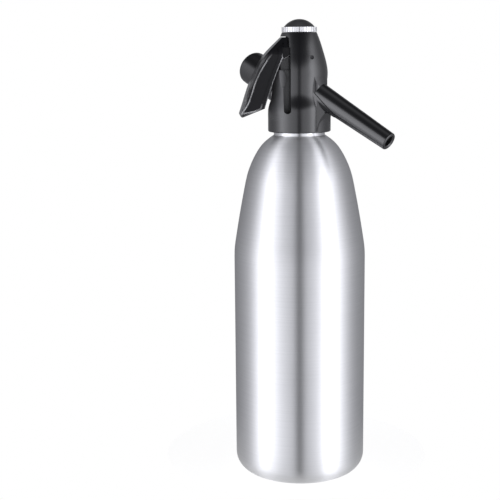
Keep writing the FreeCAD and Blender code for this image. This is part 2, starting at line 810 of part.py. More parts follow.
def lever():
    """Channel-shaped hand lever with two arms to the pin and a bar over the button."""
    bar_start = Vector(0, -arm_half - arm_thickness / 2, bar_z)
    bar = Part.makeCylinder(cross_bar_diameter / 2, arm_gap + arm_thickness, bar_start, Vector(0, 1, 0))
    return lever_shell().fuse([lever_arms(), bar]).cut(hinge_bore())


def lever_pin():
    """Steel hinge pin through the head's sides, sunk at both ends."""
    height = pin_z - skirt_z - nose_height
    side = nose_diameter / 2 - height * 0.22
    half = math.sqrt(side ** 2 - pin_offset ** 2) - pin_recess
    return Part.makeCylinder(pin_radius, 2 * half, Vector(pin_offset, -half, pin_z), Vector(0, 1, 0))


# --- cap ------------------------------------------------------------------------------

def top_cap():
    """Domed cap with the core that the ring sits on and the thread into the head."""
    base = collar_z + 2 * seat_clearance
    dome_foot = base + ring_height
    radius = dome_diameter / 2
    sphere = (radius ** 2 + dome_height ** 2) / (2 * dome_height)
    top = Vector(0, 0, dome_foot + dome_height)
    angle = math.asin(radius / sphere) / 2
    middle = Vector(sphere * math.sin(angle), 0, top.z - sphere * (1 - math.cos(angle)))
    rim = Vector(radius, 0, dome_foot)
    core = cap_core_diameter / 2
    thread = cap_thread_diameter / 2
    foot = collar_z - cap_thread_length
    edges = outline([(0, foot), (thread - 0.6, foot), (thread, foot + 0.6), (thread, base)])
    edges += outline([(thread, base), (core, base), (core, dome_foot), (radius, dome_foot)])
    edges.append(Part.Arc(rim, middle, top).toShape())
    edges.append(Part.makeLine(top, Vector(0, 0, foot)))
    return revolved(edges)


def cap_ring():
    """Bright grip ring with upright ribs."""
    base = collar_z + 2 * seat_clearance
    body = ring(ring_diameter / 2, cap_core_diameter / 2, base, base + ring_height)
    pitch = math.pi * ring_diameter / ring_rib_count
    groove_radius = pitch * 0.3
    groove_middle = Vector(ring_diameter / 2 + groove_radius - ring_groove_depth, 0, base)
    groove = Part.makeCylinder(groove_radius, ring_height, groove_middle)
    grooves = []
    for number in range(ring_rib_count):
        one = groove.copy()
        one.rotate(Vector(0, 0, 0), Vector(0, 0, 1), 360.0 * number / ring_rib_count)
        grooves.append(one)
    return body.cut(Part.makeCompound(grooves))


def cap_seal():
    """Thin seal in the collar's seat under the cap."""
    inner = cap_thread_diameter / 2 + seat_clearance
    return ring(cap_core_diameter / 2 + 0.6, inner, collar_z - cap_seal_thickness, collar_z)


# --- valve ----------------------------------------------------------------------------

def valve_stem():
    """Round stem from the button down through gland and seat to the washer's nut."""
    return disc(stem_radius, valve_nut_foot_z, button_top_z - button_height * 0.4)


def stem_button():
    """Button on the stem's top that the lever's cross bar presses."""
    body = disc(button_diameter / 2, button_foot_z, button_top_z)
    return body.cut(disc(stem_radius, button_foot_z - 1, button_top_z - button_height * 0.4))


def return_spring():
    """Spring that lifts the button off the gland nut."""
    radius = button_diameter / 2 - return_spring_wire
    top = button_foot_z - seat_clearance
    return coil(radius, return_spring_wire, tower_z + seat_clearance, top, return_spring_turns)


def gland_nut():
    """Nut in the tower's mouth that guides the stem."""
    return ring(gland_diameter / 2, stem_radius + running_clearance, gland_foot_z, tower_z)


def stem_seal():
    """O-ring round the stem under the gland nut."""
    section = seal_section / 2
    middle = seal_foot_z + section + running_clearance
    return torus(stem_radius + running_clearance + section, seal_section, middle)


def valve_washer():
    """Soft disc that closes the seat from below."""
    return ring(washer_diameter / 2, stem_radius, washer_foot_z, washer_foot_z + washer_thickness)


def valve_nut():
    """Nut that holds the washer on the stem."""
    return ring(valve_nut_diameter / 2, stem_radius, valve_nut_foot_z, washer_foot_z)


def valve_spring():
    """Small spring that keeps the valve shut."""
    radius = valve_nut_diameter / 2 - valve_spring_wire
    foot = riser_nut_top_z + seat_clearance
    return coil(radius, valve_spring_wire, foot, valve_nut_foot_z - seat_clearance, valve_spring_turns)


# --- dip tubes ------------------------------------------------------------------------

def riser_nut():
    """Plug that closes the valve chamber and carries both tubes."""
    flange_foot = plug_foot_z - riser_flange_thickness
    spigot_foot = flange_foot - riser_spigot_length
    spigot = measuring_diameter / 2 - measuring_wall - running_clearance
    points = [
        (riser_bore_diameter / 2, flange_foot + 1),
        (riser_diameter / 2, flange_foot + 1),
        (riser_diameter / 2, spigot_foot),
        (spigot, spigot_foot),
        (spigot, flange_foot),
        (riser_flange_diameter / 2, flange_foot),
        (riser_flange_diameter / 2, plug_foot_z),
        (valve_well_diameter / 2 - seat_clearance, plug_foot_z),
        (valve_well_diameter / 2 - seat_clearance, riser_nut_top_z),
        (riser_bore_diameter / 2, riser_nut_top_z),
    ]
    return turned(points)


def riser_tube():
    """Dip tube from the riser nut down to just above the bottle's floor."""
    top = plug_foot_z - riser_flange_thickness + 1
    foot = bottle_wall + riser_foot_gap
    return ring(riser_diameter / 2, riser_bore_diameter / 2, foot, top)


def measuring_tube():
    """Short wide tube round the riser that sets the filling height."""
    top = plug_foot_z - riser_flange_thickness
    radius = measuring_diameter / 2
    return ring(radius, radius - measuring_wall, top - measuring_length, top)


# --- spout ----------------------------------------------------------------------------

def spout():
    """Tapered spout with a rounded outlet and a spigot in the head's socket."""
    cone = spout_cone(0)
    tip = [edge for edge in cone.Edges if abs(edge.CenterOfMass.z - spout_length) < 0.01 and edge.Closed]
    cone = cone.makeFillet(spout_tip_radius, tip)
    root = spout_root_distance
    spigot = Part.makeCylinder(spigot_diameter / 2, spigot_length, Vector(0, 0, root - spigot_length))
    spigot_radius = spigot_diameter / 2
    groove_foot = root - spigot_length * 0.7
    groove = ring(spigot_radius + 1, spigot_radius - 1, groove_foot, groove_foot + spigot_length / 2)
    bore_radius = spout_bore_diameter / 2
    bore = Part.makeCylinder(bore_radius, spout_length + 2, Vector(0, 0, root - spigot_length - 1))
    lip = spout_lip_chamfer
    mouth = Part.makeCone(bore_radius, bore_radius + lip, lip, Vector(0, 0, spout_length - lip))
    body = cone.fuse(spigot).cut(bore.fuse([groove, mouth]))
    return on_spout_axis(body)


def spout_seal():
    """O-ring in the spigot's groove."""
    middle = spout_root_distance - spigot_length * 0.45
    return on_spout_axis(ring(spigot_diameter / 2, spigot_diameter / 2 - 1, middle - 0.8, middle + 0.8))


# --- charger --------------------------------------------------------------------------

def co2_charger():
    """Steel bulb with a narrow neck toward the piercing pin and a round end."""
    tip = charger_tip_distance
    neck = charger_neck_diameter / 2
    neck_end = tip + charger_neck_length
    shoulder_end = neck_end + charger_shoulder_length
    end = tip + charger_length
    shoulder = curve(
        [
            Vector(neck, 0, neck_end),
            Vector(neck + (charger_radius - neck) * 0.5, 0, neck_end + charger_shoulder_length * 0.32),
            Vector(charger_radius, 0, shoulder_end),
        ],
        Vector(0.3, 0, 1),
        Vector(0, 0, 1),
    )
    middle = charger_radius * math.sin(math.pi / 4)
    round_start = end - charger_radius
    edges = [
        Part.makeLine(Vector(0, 0, tip), Vector(neck, 0, tip)),
        Part.makeLine(Vector(neck, 0, tip), Vector(neck, 0, neck_end)),
        shoulder,
        Part.makeLine(Vector(charger_radius, 0, shoulder_end), Vector(charger_radius, 0, round_start)),
        Part.makeLine(Vector(0, 0, end), Vector(0, 0, tip)),
    ]
    side_end = Vector(charger_radius, 0, round_start)
    dome = Part.Arc(side_end, Vector(middle, 0, round_start + middle), Vector(0, 0, end))
    edges.append(dome.toShape())
    hole_radius = piercing_pin_diameter / 2 - 1.2
    well = Part.makeCylinder(hole_radius, piercing_point_length + 0.4, Vector(0, 0, tip))
    return on_holder_axis(revolved(edges).cut(well))


def charger_holder():
    """Smooth screw-on cup with a rounded end."""
    mouth = holder_mouth_distance
    end = holder_end_distance
    body = Part.makeCylinder(holder_radius, end - mouth, Vector(0, 0, mouth))
    rim = [edge for edge in body.Edges if abs(edge.CenterOfMass.z - end) < 0.01 and edge.Closed]
    body = body.makeFillet(holder_edge_radius, rim)
    bowl_top = end - holder_bottom - charger_bore_radius
    bowl = Part.makeCylinder(charger_bore_radius, bowl_top - mouth, Vector(0, 0, mouth))
    bowl_end = Part.makeSphere(charger_bore_radius, Vector(0, 0, bowl_top))
    thread = Part.makeCylinder(nipple_radius + thread_clearance, nipple_length + 0.6, Vector(0, 0, mouth))
    return on_holder_axis(body.cut(bowl.fuse([bowl_end, thread])))


def holder_ring():
    """Soft ring between the boss and the holder's mouth."""
    inner = nipple_radius + running_clearance
    end = boss_length + holder_ring_thickness
    return on_holder_axis(ring(holder_radius - 0.3, inner, boss_length, end))


def charger_seal():
    """Ring that seals the bulb's neck against its bore."""
    inner = charger_neck_diameter / 2
    middle = charger_tip_distance + charger_neck_length * 0.4
    section = charger_seal_section / 2
    return on_holder_axis(ring(inner + 3 * seat_clearance, inner, middle - section, middle + section))


def piercing_pin():
    """Hollow pin with a point that opens the bulb."""
    tip = charger_tip_distance
    radius = piercing_pin_diameter / 2
    foot = tip - piercing_pin_length
    body = Part.makeCylinder(radius, piercing_pin_length - seat_clearance, Vector(0, 0, foot))
    point = Part.makeCone(radius - 1.5, 0.3, piercing_point_length, Vector(0, 0, tip - seat_clearance))
    bore = Part.makeCylinder(0.5, piercing_pin_length, Vector(0, 0, foot - 1))
    return on_holder_axis(body.fuse(point).cut(bore))


def check_valve():
    """Soft sleeve in the gas channel's mouth under the head."""
    turn = math.radians(holder_turn)
    side = Vector(math.sin(turn), -math.cos(turn), 0) * check_valve_distance
    radius = check_valve_diameter / 2
    body = disc(radius, plug_foot_z, plug_foot_z + check_valve_length)
    body = body.cut(disc(radius - 1, plug_foot_z + 1, plug_foot_z + check_valve_length + 1))
    body.translate(side)
    return body


pieces = {
    "bottle": bottle,
    "head_body": head_body,
    "neck_insert": neck_insert,
    "head_gasket": head_gasket,
    "lever": lever,
    "lever_pin": lever_pin,
    "top_cap": top_cap,
    "cap_ring": cap_ring,
    "cap_seal": cap_seal,
    "valve_stem": valve_stem,
    "stem_button": stem_button,
    "return_spring": return_spring,
    "gland_nut": gland_nut,
    "stem_seal": stem_seal,
    "valve_washer": valve_washer,
    "valve_nut": valve_nut,
    "valve_spring": valve_spring,
    "riser_nut": riser_nut,
    "riser_tube": riser_tube,
    "measuring_tube": measuring_tube,
    "spout": spout,
    "spout_seal": spout_seal,
    "co2_charger": co2_charger,
    "charger_holder": charger_holder,
    "holder_ring": holder_ring,
    "charger_seal": charger_seal,
    "piercing_pin": piercing_pin,
    "check_valve": check_valve,
}

os.makedirs("parts", exist_ok=True)
for name, build in pieces.items():
    shape = build()
    shape.exportStep(os.path.join("parts", name + ".step"))
    print(name, shape.isValid(), len(shape.Solids), round(shape.Volume, 1))
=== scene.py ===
import bpy
import math
from mathutils import Matrix, Vector


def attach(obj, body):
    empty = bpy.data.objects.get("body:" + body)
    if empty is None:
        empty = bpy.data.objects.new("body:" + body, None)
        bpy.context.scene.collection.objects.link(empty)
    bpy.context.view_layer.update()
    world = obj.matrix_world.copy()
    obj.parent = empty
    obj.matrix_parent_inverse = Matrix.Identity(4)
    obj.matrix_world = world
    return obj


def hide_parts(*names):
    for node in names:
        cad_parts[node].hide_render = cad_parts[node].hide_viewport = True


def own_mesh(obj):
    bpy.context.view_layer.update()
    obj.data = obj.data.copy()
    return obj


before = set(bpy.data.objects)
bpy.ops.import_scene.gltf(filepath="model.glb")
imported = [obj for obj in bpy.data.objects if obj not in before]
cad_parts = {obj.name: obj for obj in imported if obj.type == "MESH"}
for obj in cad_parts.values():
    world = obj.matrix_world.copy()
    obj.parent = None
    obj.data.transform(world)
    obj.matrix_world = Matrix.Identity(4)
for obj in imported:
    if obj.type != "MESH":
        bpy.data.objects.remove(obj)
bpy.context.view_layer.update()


# --- stand and studio --------------------------------------------------------------------
# The siphon stands on a small pale sheet in a white room. Two tall soft panels, one on each
# side of the viewer, give the long bands on the metal, with a narrow dark gap between them.
def connect(tree, node, sockets):
    """Joins or sets a node's sockets, by name or number."""
    for name, value in sockets.items():
        if isinstance(value, bpy.types.NodeSocket):
            tree.links.new(value, node.inputs[name])
        else:
            node.inputs[name].default_value = value
    return node


def fit(tree, kind, sockets=None, **settings):
    """Adds one node with its settings and sockets."""
    node = tree.nodes.new(kind)
    for name, value in settings.items():
        setattr(node, name, value)
    return connect(tree, node, sockets or {})


def sums(tree, operation, *values, clamp=False):
    """A Math node's result."""
    node = fit(tree, "ShaderNodeMath", dict(enumerate(values)), operation=operation, use_clamp=clamp)
    return node.outputs[0]


def plus(tree, base, value, share):
    """The base and a share of the value on top."""
    return sums(tree, "MULTIPLY_ADD", value, share, base)


def ramp(tree, value, start, end):
    """0 up to start, 1 from end on, and an even rise between them."""
    return fit(tree, "ShaderNodeMapRange", {0: value, 1: start, 2: end}).outputs[0]


def between(tree, factor, first, second):
    """A colour that goes from first to second as the factor rises."""
    ends = [end if isinstance(end, bpy.types.NodeSocket) else (*end, 1.0) for end in (first, second)]
    return fit(tree, "ShaderNodeMix", {0: factor, 6: ends[0], 7: ends[1]}, data_type="RGBA").outputs[2]


def brightness_curve(tree, value, stops, top=1.0):
    """A smooth curve of brightness over an angle; the stops are in degrees."""
    low, high = stops[0][0], stops[-1][0]
    across = ramp(tree, value, math.radians(low), math.radians(high))
    node = fit(tree, "ShaderNodeFloatCurve", {"Value": across})
    line = node.mapping.curves[0]
    for angle, level in stops[1:-1]:
        line.points.new((angle - low) / (high - low), level / top)
    line.points[0].location = (0, stops[0][1] / top)
    line.points[-1].location = (1, stops[-1][1] / top)
    for point in line.points:
        point.handle_type = "AUTO_CLAMPED"
    node.mapping.update()
    return sums(tree, "MULTIPLY", node.outputs[0], top)


viewer_turn = math.radians(5.0)
panel_middle = math.radians(46.0)
panel_reach = math.radians(100.0)
panel_slant = 0.22
brightest = 3.3
around_panels = [
    (-180, 0.5), (-176, 0.38), (-170, 0.26), (-132, 0.34), (-116, 0.46), (-104, 0.62), (-94, 0.92),
    (-84, 1.45), (-75, 2.1), (-66, 2.75), (-58, 2.45), (-50, 2.15), (-42, 1.82), (-34, 1.48), (-26, 1.3),
    (-18, 1.18), (-10, 1.0), (-6, 0.55), (-2, 0.1), (2, 0.1), (6, 0.55), (12, 1.02), (22, 1.22),
    (30, 1.36), (40, 1.9), (48, 2.8), (56, 3.1), (63, 2.75), (75, 1.95), (85, 1.3), (97, 0.82),
    (108, 0.55), (121, 0.40), (137, 0.33), (170, 0.28), (176, 0.38), (180, 0.5),
]
panel_rise = [
    (-90, 0.25), (-65, 0.35), (-42, 0.9), (-20, 1.0), (14, 1.0), (22, 0.8), (30, 0.25), (38, 0.06), (90, 0.0),
]
ceiling_rise = [(-90, 0.0), (36, 0.0), (50, 0.02), (64, 0.08), (76, 0.25), (90, 0.5)]
studio_colour = (0.96, 0.967, 1.02, 1.0)
plain_white = (1.0, 1.0, 1.0, 1.0)

room = bpy.data.worlds.new("white_room")
bpy.context.scene.world = room
room.use_nodes = True
air = room.node_tree
air.nodes.clear()
toward = fit(air, "ShaderNodeTexCoord").outputs["Generated"]
turned = fit(air, "ShaderNodeVectorRotate", {"Vector": toward, "Angle": viewer_turn}, rotation_type="Z_AXIS")
way = fit(air, "ShaderNodeSeparateXYZ", {0: turned.outputs[0]}).outputs
bearing = sums(air, "ARCTAN2", way["X"], sums(air, "MULTIPLY", way["Y"], -1.0))
climb = sums(air, "ARCSINE", way["Z"])
sides = brightness_curve(air, bearing, around_panels, brightest)
outward = sums(air, "MINIMUM", sums(air, "ABSOLUTE", bearing), panel_reach)
slanted = plus(air, climb, sums(air, "SUBTRACT", outward, panel_middle), -panel_slant)
rise = brightness_curve(air, slanted, panel_rise)
ceiling = brightness_curve(air, climb, ceiling_rise)
studio_light = sums(air, "MULTIPLY_ADD", sides, rise, ceiling)
seen = fit(air, "ShaderNodeLightPath").outputs
straight = sums(air, "MAXIMUM", seen["Is Camera Ray"], seen["Is Transmission Ray"])
glow = fit(air, "ShaderNodeBackground", {"Color": studio_colour, "Strength": studio_light})
white = fit(air, "ShaderNodeBackground", {"Color": plain_white, "Strength": 1.0})
either = fit(air, "ShaderNodeMixShader", {0: straight, 1: glow.outputs[0], 2: white.outputs[0]})
fit(air, "ShaderNodeOutputWorld", {"Surface": either.outputs[0]})

# The sheet under the siphon is matt card: it keeps a faint shadow and otherwise looks white.
sheet_radius = 0.095
sheet_behind = 0.034
sheet_level = -0.0003
sheet_corners = 96
sheet_glow = 0.90
sheet_shine = 0.50
dark_fibre = (0.27, 0.27, 0.27)
light_fibre = (0.29, 0.29, 0.29)
card = bpy.data.materials.new("pale_card")
card.use_nodes = True
paper = card.node_tree
paper.nodes.clear()
rays = fit(paper, "ShaderNodeLightPath").outputs
direct = sums(paper, "MAXIMUM", rays["Is Camera Ray"], rays["Is Transmission Ray"])
shine = sums(paper, "MULTIPLY", rays["Is Glossy Ray"], sheet_shine)
sheet_light = plus(paper, shine, direct, sheet_glow)
fibres = fit(paper, "ShaderNodeTexNoise", {"Scale": 900.0, "Detail": 4.0}).outputs[0]
matt = fit(paper, "ShaderNodeBsdfDiffuse", {"Color": between(paper, fibres, dark_fibre, light_fibre)})
glowing = fit(paper, "ShaderNodeEmission", {"Color": plain_white, "Strength": sheet_light})
both = fit(paper, "ShaderNodeAddShader", {0: matt.outputs[0], 1: glowing.outputs[0]})
fit(paper, "ShaderNodeOutputMaterial", {"Surface": both.outputs[0]})
corner_turns = [math.tau * i / sheet_corners for i in range(sheet_corners)]
rim = [
    (sheet_radius * math.cos(turn), sheet_behind + sheet_radius * math.sin(turn), sheet_level)
    for turn in corner_turns
]
sheet_mesh = bpy.data.meshes.new("floor_sheet")
sheet_mesh.from_pydata(rim, [], [list(range(sheet_corners))])
sheet_mesh.materials.append(card)
floor_sheet = bpy.data.objects.new("floor_sheet", sheet_mesh)
bpy.context.collection.objects.link(floor_sheet)

# The viewer looks a little down from the front, through a long lens.
viewer_place = (-0.0689, -0.7870, 0.29975)
viewer_right = Vector((0.99890, -0.04597, -0.00867))
viewer_up = Vector((0.01674, 0.17801, 0.98389))
viewer_back = Vector((-0.04369, -0.98295, 0.17858))
viewer = bpy.data.cameras.new("viewer")
viewer.sensor_width = 36.0
viewer.lens = 83.51
viewer.shift_x = -0.001
viewer.shift_y = 0.001
viewer.clip_start = 0.02
viewer.clip_end = 20.0
camera = bpy.data.objects.new("viewer", viewer)
bpy.context.collection.objects.link(camera)
aim = Matrix((viewer_right, viewer_up, viewer_back)).transposed().to_4x4()
camera.matrix_world = Matrix.Translation(viewer_place) @ aim
bpy.context.scene.camera = camera
bpy.context.scene.view_settings.view_transform = "Standard"


# --- bottle ------------------------------------------------------------------------------
# One drawn aluminium shell with a narrow threaded neck. It is spun and brushed round its
# axis to a satin, which spreads a reflection up and down, and the neck is left brighter.
def group(name, sockets_in, sockets_out):
    """A new shader group with named inputs and outputs; returns its tree and its ends."""
    tree = bpy.data.node_groups.new(name, "ShaderNodeTree")
    for label, value in sockets_in.items():
        kind = "NodeSocketVector" if isinstance(value, tuple) else "NodeSocketFloat"
        tree.interface.new_socket(label, in_out="INPUT", socket_type=kind).default_value = value
    for label in sockets_out:
        tree.interface.new_socket(label, in_out="OUTPUT", socket_type="NodeSocketFloat")
    return tree, tree.nodes.new("NodeGroupInput").outputs, tree.nodes.new("NodeGroupOutput")


spun, spun_in, spun_out = group(
    "spun_lines", {"Place": (0.0, 0.0, 0.0), "Lines per m": 5000.0, "Wander": 12.0}, ["Line", "Patch"]
)
spun_at = fit(spun, "ShaderNodeSeparateXYZ", {0: spun_in["Place"]}).outputs
spun_x = sums(spun, "MULTIPLY", spun_at["X"], spun_in["Wander"])
spun_y = sums(spun, "MULTIPLY", spun_at["Y"], spun_in["Wander"])
spun_up = sums(spun, "MULTIPLY", spun_at["Z"], spun_in["Lines per m"])
spun_spot = fit(spun, "ShaderNodeCombineXYZ", {"X": spun_x, "Y": spun_y, "Z": spun_up}).outputs[0]
spun_noise = fit(spun, "ShaderNodeTexNoise", {"Vector": spun_spot, "Scale": 1.0, "Detail": 3.0})
spun_cloud = fit(spun, "ShaderNodeTexNoise", {"Vector": spun_in["Place"], "Scale": 55.0, "Detail": 3.0})
connect(spun, spun_out, {"Line": spun_noise.outputs[0], "Patch": spun_cloud.outputs[0]})

thread, thread_in, thread_out = group(
    "screw_thread", {"Place": (0.0, 0.0, 0.0), "Pitch": 0.002, "Low": 0.0, "High": 1.0}, ["Ridge"]
)
thread_at = fit(thread, "ShaderNodeSeparateXYZ", {0: thread_in["Place"]}).outputs
thread_turn = sums(thread, "DIVIDE", sums(thread, "ARCTAN2", thread_at["Y"], thread_at["X"]), math.tau)
thread_rise = sums(thread, "DIVIDE", thread_at["Z"], thread_in["Pitch"])
thread_wave = sums(thread, "PINGPONG", sums(thread, "SUBTRACT", thread_rise, thread_turn), 0.5)
thread_wave = sums(thread, "MULTIPLY", thread_wave, 2.0)
thread_above = sums(thread, "GREATER_THAN", thread_at["Z"], thread_in["Low"])
thread_below = sums(thread, "LESS_THAN", thread_at["Z"], thread_in["High"])
thread_band = sums(thread, "MULTIPLY", thread_above, thread_below)
connect(thread, thread_out, {"Ridge": sums(thread, "MULTIPLY", thread_wave, thread_band)})


def finish(slot, metallic, roughness, colour):
    """A new material for one of the record's slots, with its tree, its shader and its place."""
    material = bpy.data.materials.new(slot)
    material.use_nodes = True
    tree = material.node_tree
    tree.nodes.clear()
    shader = fit(tree, "ShaderNodeBsdfPrincipled", {"Metallic": metallic, "Roughness": roughness})
    shader.inputs["Base Color"].default_value = (*colour, 1.0)
    material.diffuse_color = (*colour, 1.0)
    fit(tree, "ShaderNodeOutputMaterial", {"Surface": shader.outputs[0]})
    return material, tree, shader, fit(tree, "ShaderNodeTexCoord").outputs["Object"]


def placed(tree, name, sockets):
    """The outputs of one of the shared groups, set into a material."""
    return fit(tree, "ShaderNodeGroup", sockets, node_tree=bpy.data.node_groups[name]).outputs


def threaded(tree, place, pitch, low, high):
    """The ridges of a screw thread that runs round Z from low to high."""
    return placed(tree, "screw_thread", {"Place": place, "Pitch": pitch, "Low": low, "High": high})["Ridge"]


def relief(tree, height, strength, depth, under=None):
    """A bump of that depth in metres, laid over the one under it."""
    sockets = {"Strength": strength, "Distance": depth, "Height": height}
    if under is not None:
        sockets["Normal"] = under
    return fit(tree, "ShaderNodeBump", sockets).outputs[0]


def dress(node, material):
    """Gives a solid its material."""
    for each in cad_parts[node].material_slots:
        each.material = material


neck_thread = (0.0025, 0.2398, 0.2472)
shoulder_end, neck_foot = 0.2335, 0.2375
dark_line = (0.79, 0.793, 0.803)
bright_line = (0.93, 0.933, 0.943)
aluminium, metal, satin, place = finish(
    "bottle_aluminium", metallic=1.0, roughness=0.36, colour=(0.86, 0.86, 0.87)
)
lines = placed(metal, "spun_lines", {"Place": place, "Lines per m": 1500.0, "Wander": 26.0})
level = fit(metal, "ShaderNodeSeparateXYZ", {0: place}).outputs["Z"]
rough = plus(metal, 0.38, lines["Line"], share=0.10)
rough = plus(metal, rough, lines["Patch"], share=0.03)
rough = plus(metal, rough, ramp(metal, level, shoulder_end, neck_foot), share=-0.12)
brushed = relief(metal, lines["Line"], strength=0.12, depth=0.00002)
cut = relief(metal, threaded(metal, place, *neck_thread), strength=1.0, depth=0.0006, under=brushed)
connect(metal, satin, {
    "Base Color": between(metal, lines["Line"], dark_line, bright_line),
    "Roughness": rough,
    "Anisotropic": 0.97,
    "Anisotropic Rotation": 0.25,
    "Tangent": fit(metal, "ShaderNodeTangent", direction_type="RADIAL", axis="Z").outputs[0],
    "Normal": cut,
})
dress("bottle", aluminium)


# --- head --------------------------------------------------------------------------------
# One glossy black moulding with skirt, waist, belly and a threaded nipple for the charger.
# It shows soft flow marks and slightly rubbed edges, and the two walls beside the lever are
# matt, with painted light: a grey colour for the light that falls on them.
# The edge mask: with a small pale colour it is slight wear, and on the lever's rims it carries a painted
# highlight.
wear_and_highlight, wear_and_highlight_in, wear_and_highlight_out = group("edge_wear_and_highlight", {"Width": 0.0006, "Breakup": 900.0}, ["Edge"])
wear_and_highlight_round = fit(wear_and_highlight, "ShaderNodeBevel", {"Radius": wear_and_highlight_in["Width"]}, samples=4).outputs[0]
wear_and_highlight_plain = fit(wear_and_highlight, "ShaderNodeNewGeometry").outputs["Normal"]
wear_and_highlight_same = fit(wear_and_highlight, "ShaderNodeVectorMath", {0: wear_and_highlight_round, 1: wear_and_highlight_plain}, operation="DOT_PRODUCT")
flat_edge, sharp_edge = 0.995, 0.90
wear_and_highlight_turn = ramp(wear_and_highlight, wear_and_highlight_same.outputs["Value"], flat_edge, sharp_edge)
wear_and_highlight_place = fit(wear_and_highlight, "ShaderNodeTexCoord").outputs["Object"]
wear_and_highlight_noise = fit(
    wear_and_highlight, "ShaderNodeTexNoise", {"Vector": wear_and_highlight_place, "Scale": wear_and_highlight_in["Breakup"], "Detail": 2.0}
)
wear_and_highlight_gap = ramp(wear_and_highlight, wear_and_highlight_noise.outputs[0], 0.35, 0.65)
connect(wear_and_highlight, wear_and_highlight_out, {"Edge": sums(wear_and_highlight, "MULTIPLY", wear_and_highlight_turn, wear_and_highlight_gap)})

specks, specks_in, specks_out = group(
    "grain", {"Place": (0.0, 0.0, 0.0), "Per m": 1000.0, "Detail": 2.0, "Unevenness": 0.5}, ["Grain"]
)
specks_noise = fit(specks, "ShaderNodeTexNoise", {
    "Vector": specks_in["Place"],
    "Scale": specks_in["Per m"],
    "Detail": specks_in["Detail"],
    "Roughness": specks_in["Unevenness"],
})
connect(specks, specks_out, {"Grain": specks_noise.outputs[0]})


def grain(tree, place, per_m, detail, unevenness=0.5):
    """Soft marks or fine grain, so many to the metre."""
    sockets = {"Place": place, "Per m": per_m, "Detail": detail, "Unevenness": unevenness}
    return placed(tree, "grain", sockets)["Grain"]


def along_axis(tree, place, foot, direction):
    """The place measured from foot, with Z along direction."""
    turn = Vector((0, 0, 1)).rotation_difference(Vector(direction)).inverted()
    sockets = {"Vector": place, "Location": turn @ -Vector(foot), "Rotation": turn.to_euler()}
    return fit(tree, "ShaderNodeMapping", sockets).outputs[0]


def moulded(slot, colour, roughness, gloss, rub_and_highlight, rim=0.0005, patchy=900.0, where=None):
    """A polished plastic moulding: soft flow marks, fine grain and a pale edge colour, which is slight wear
    on most parts and a painted highlight on the lever's rims.
    """
    material, tree, shader, place = finish(slot, 0.0, roughness, colour)
    flow = grain(tree, place, per_m=70.0, detail=4.0, unevenness=0.55)
    fine = grain(tree, place, per_m=2600.0, detail=2.0)
    edge = placed(tree, "edge_wear_and_highlight", {"Width": rim, "Breakup": patchy})["Edge"]
    if where:
        edge = sums(tree, "MULTIPLY", edge, where(tree, place), clamp=True)
    open_to = fit(tree, "ShaderNodeAmbientOcclusion", {"Distance": 0.007}, samples=6).outputs["AO"]
    rough = plus(tree, roughness - 0.025, flow, share=0.05)
    rough = plus(tree, rough, edge, share=0.08)
    rough = plus(tree, rough, ramp(tree, open_to, start=0.55, end=0.25), share=0.35)
    soft = relief(tree, flow, strength=0.10, depth=0.0004)
    connect(tree, shader, {
        "Base Color": between(tree, edge, colour, tuple(part + rub_and_highlight for part in colour)),
        "Roughness": rough,
        "Specular IOR Level": gloss,
        "Normal": relief(tree, fine, strength=0.06, depth=0.00001, under=soft),
    })
    return material, tree, shader, place


black, black_tree, black_shader, black_place = moulded(
    "head_plastic", (0.009, 0.009, 0.010), roughness=0.20, gloss=0.88, rub_and_highlight=0.015
)
black_feeds = ("Base Color", "Roughness", "Normal")
plain = {name: black_shader.inputs[name].links[0].from_socket for name in black_feeds}

holder_foot = (0.0094202, 0.0065961, 0.2531)
holder_way = (-0.530684, 0.757896, 0.379456)
nipple_thread = (0.002, 0.0240, 0.0322)
on_nipple = along_axis(black_tree, black_place, holder_foot, holder_way)
nipple_ridge = threaded(black_tree, on_nipple, *nipple_thread)
nipple_cut = relief(black_tree, nipple_ridge, strength=1.0, depth=0.0005, under=plain["Normal"])

# Painted light: the walls beside the lever get a grey colour for the light that falls on them, and a matt
# roughness.
wall_back = (-0.0105, -0.0130)
wall_side = (0.0215, 0.0205)
wall_foot = (0.246, 0.261)
wall_top = (0.290, 0.284)
painted_wall_light = (0.11, 0.11, 0.113)
wall_rough = 0.62
black_at = fit(black_tree, "ShaderNodeSeparateXYZ", {0: black_place}).outputs
black_side = sums(black_tree, "ABSOLUTE", black_at["Y"])
painted_light_walls = ramp(black_tree, black_at["X"], *wall_back)
for value, limits in ((black_side, wall_side), (black_at["Z"], wall_foot), (black_at["Z"], wall_top)):
    painted_light_walls = sums(black_tree, "MULTIPLY", painted_light_walls, ramp(black_tree, value, *limits))
matt_black = fit(
    black_tree, "ShaderNodeMix", {0: painted_light_walls, 2: plain["Roughness"], 3: wall_rough}, data_type="FLOAT"
)
connect(black_tree, black_shader, {
    "Base Color": between(black_tree, painted_light_walls, plain["Base Color"], painted_wall_light),
    "Roughness": matt_black.outputs[0],
    "Normal": nipple_cut,
})
dress("head_body", black)


# --- spout -------------------------------------------------------------------------------
# A tapered black tube, moulded in the same plastic as the head and as glossy. Its root is
# pushed into a socket in the head, and a ring on its spigot seals it there.
dress("spout", black)


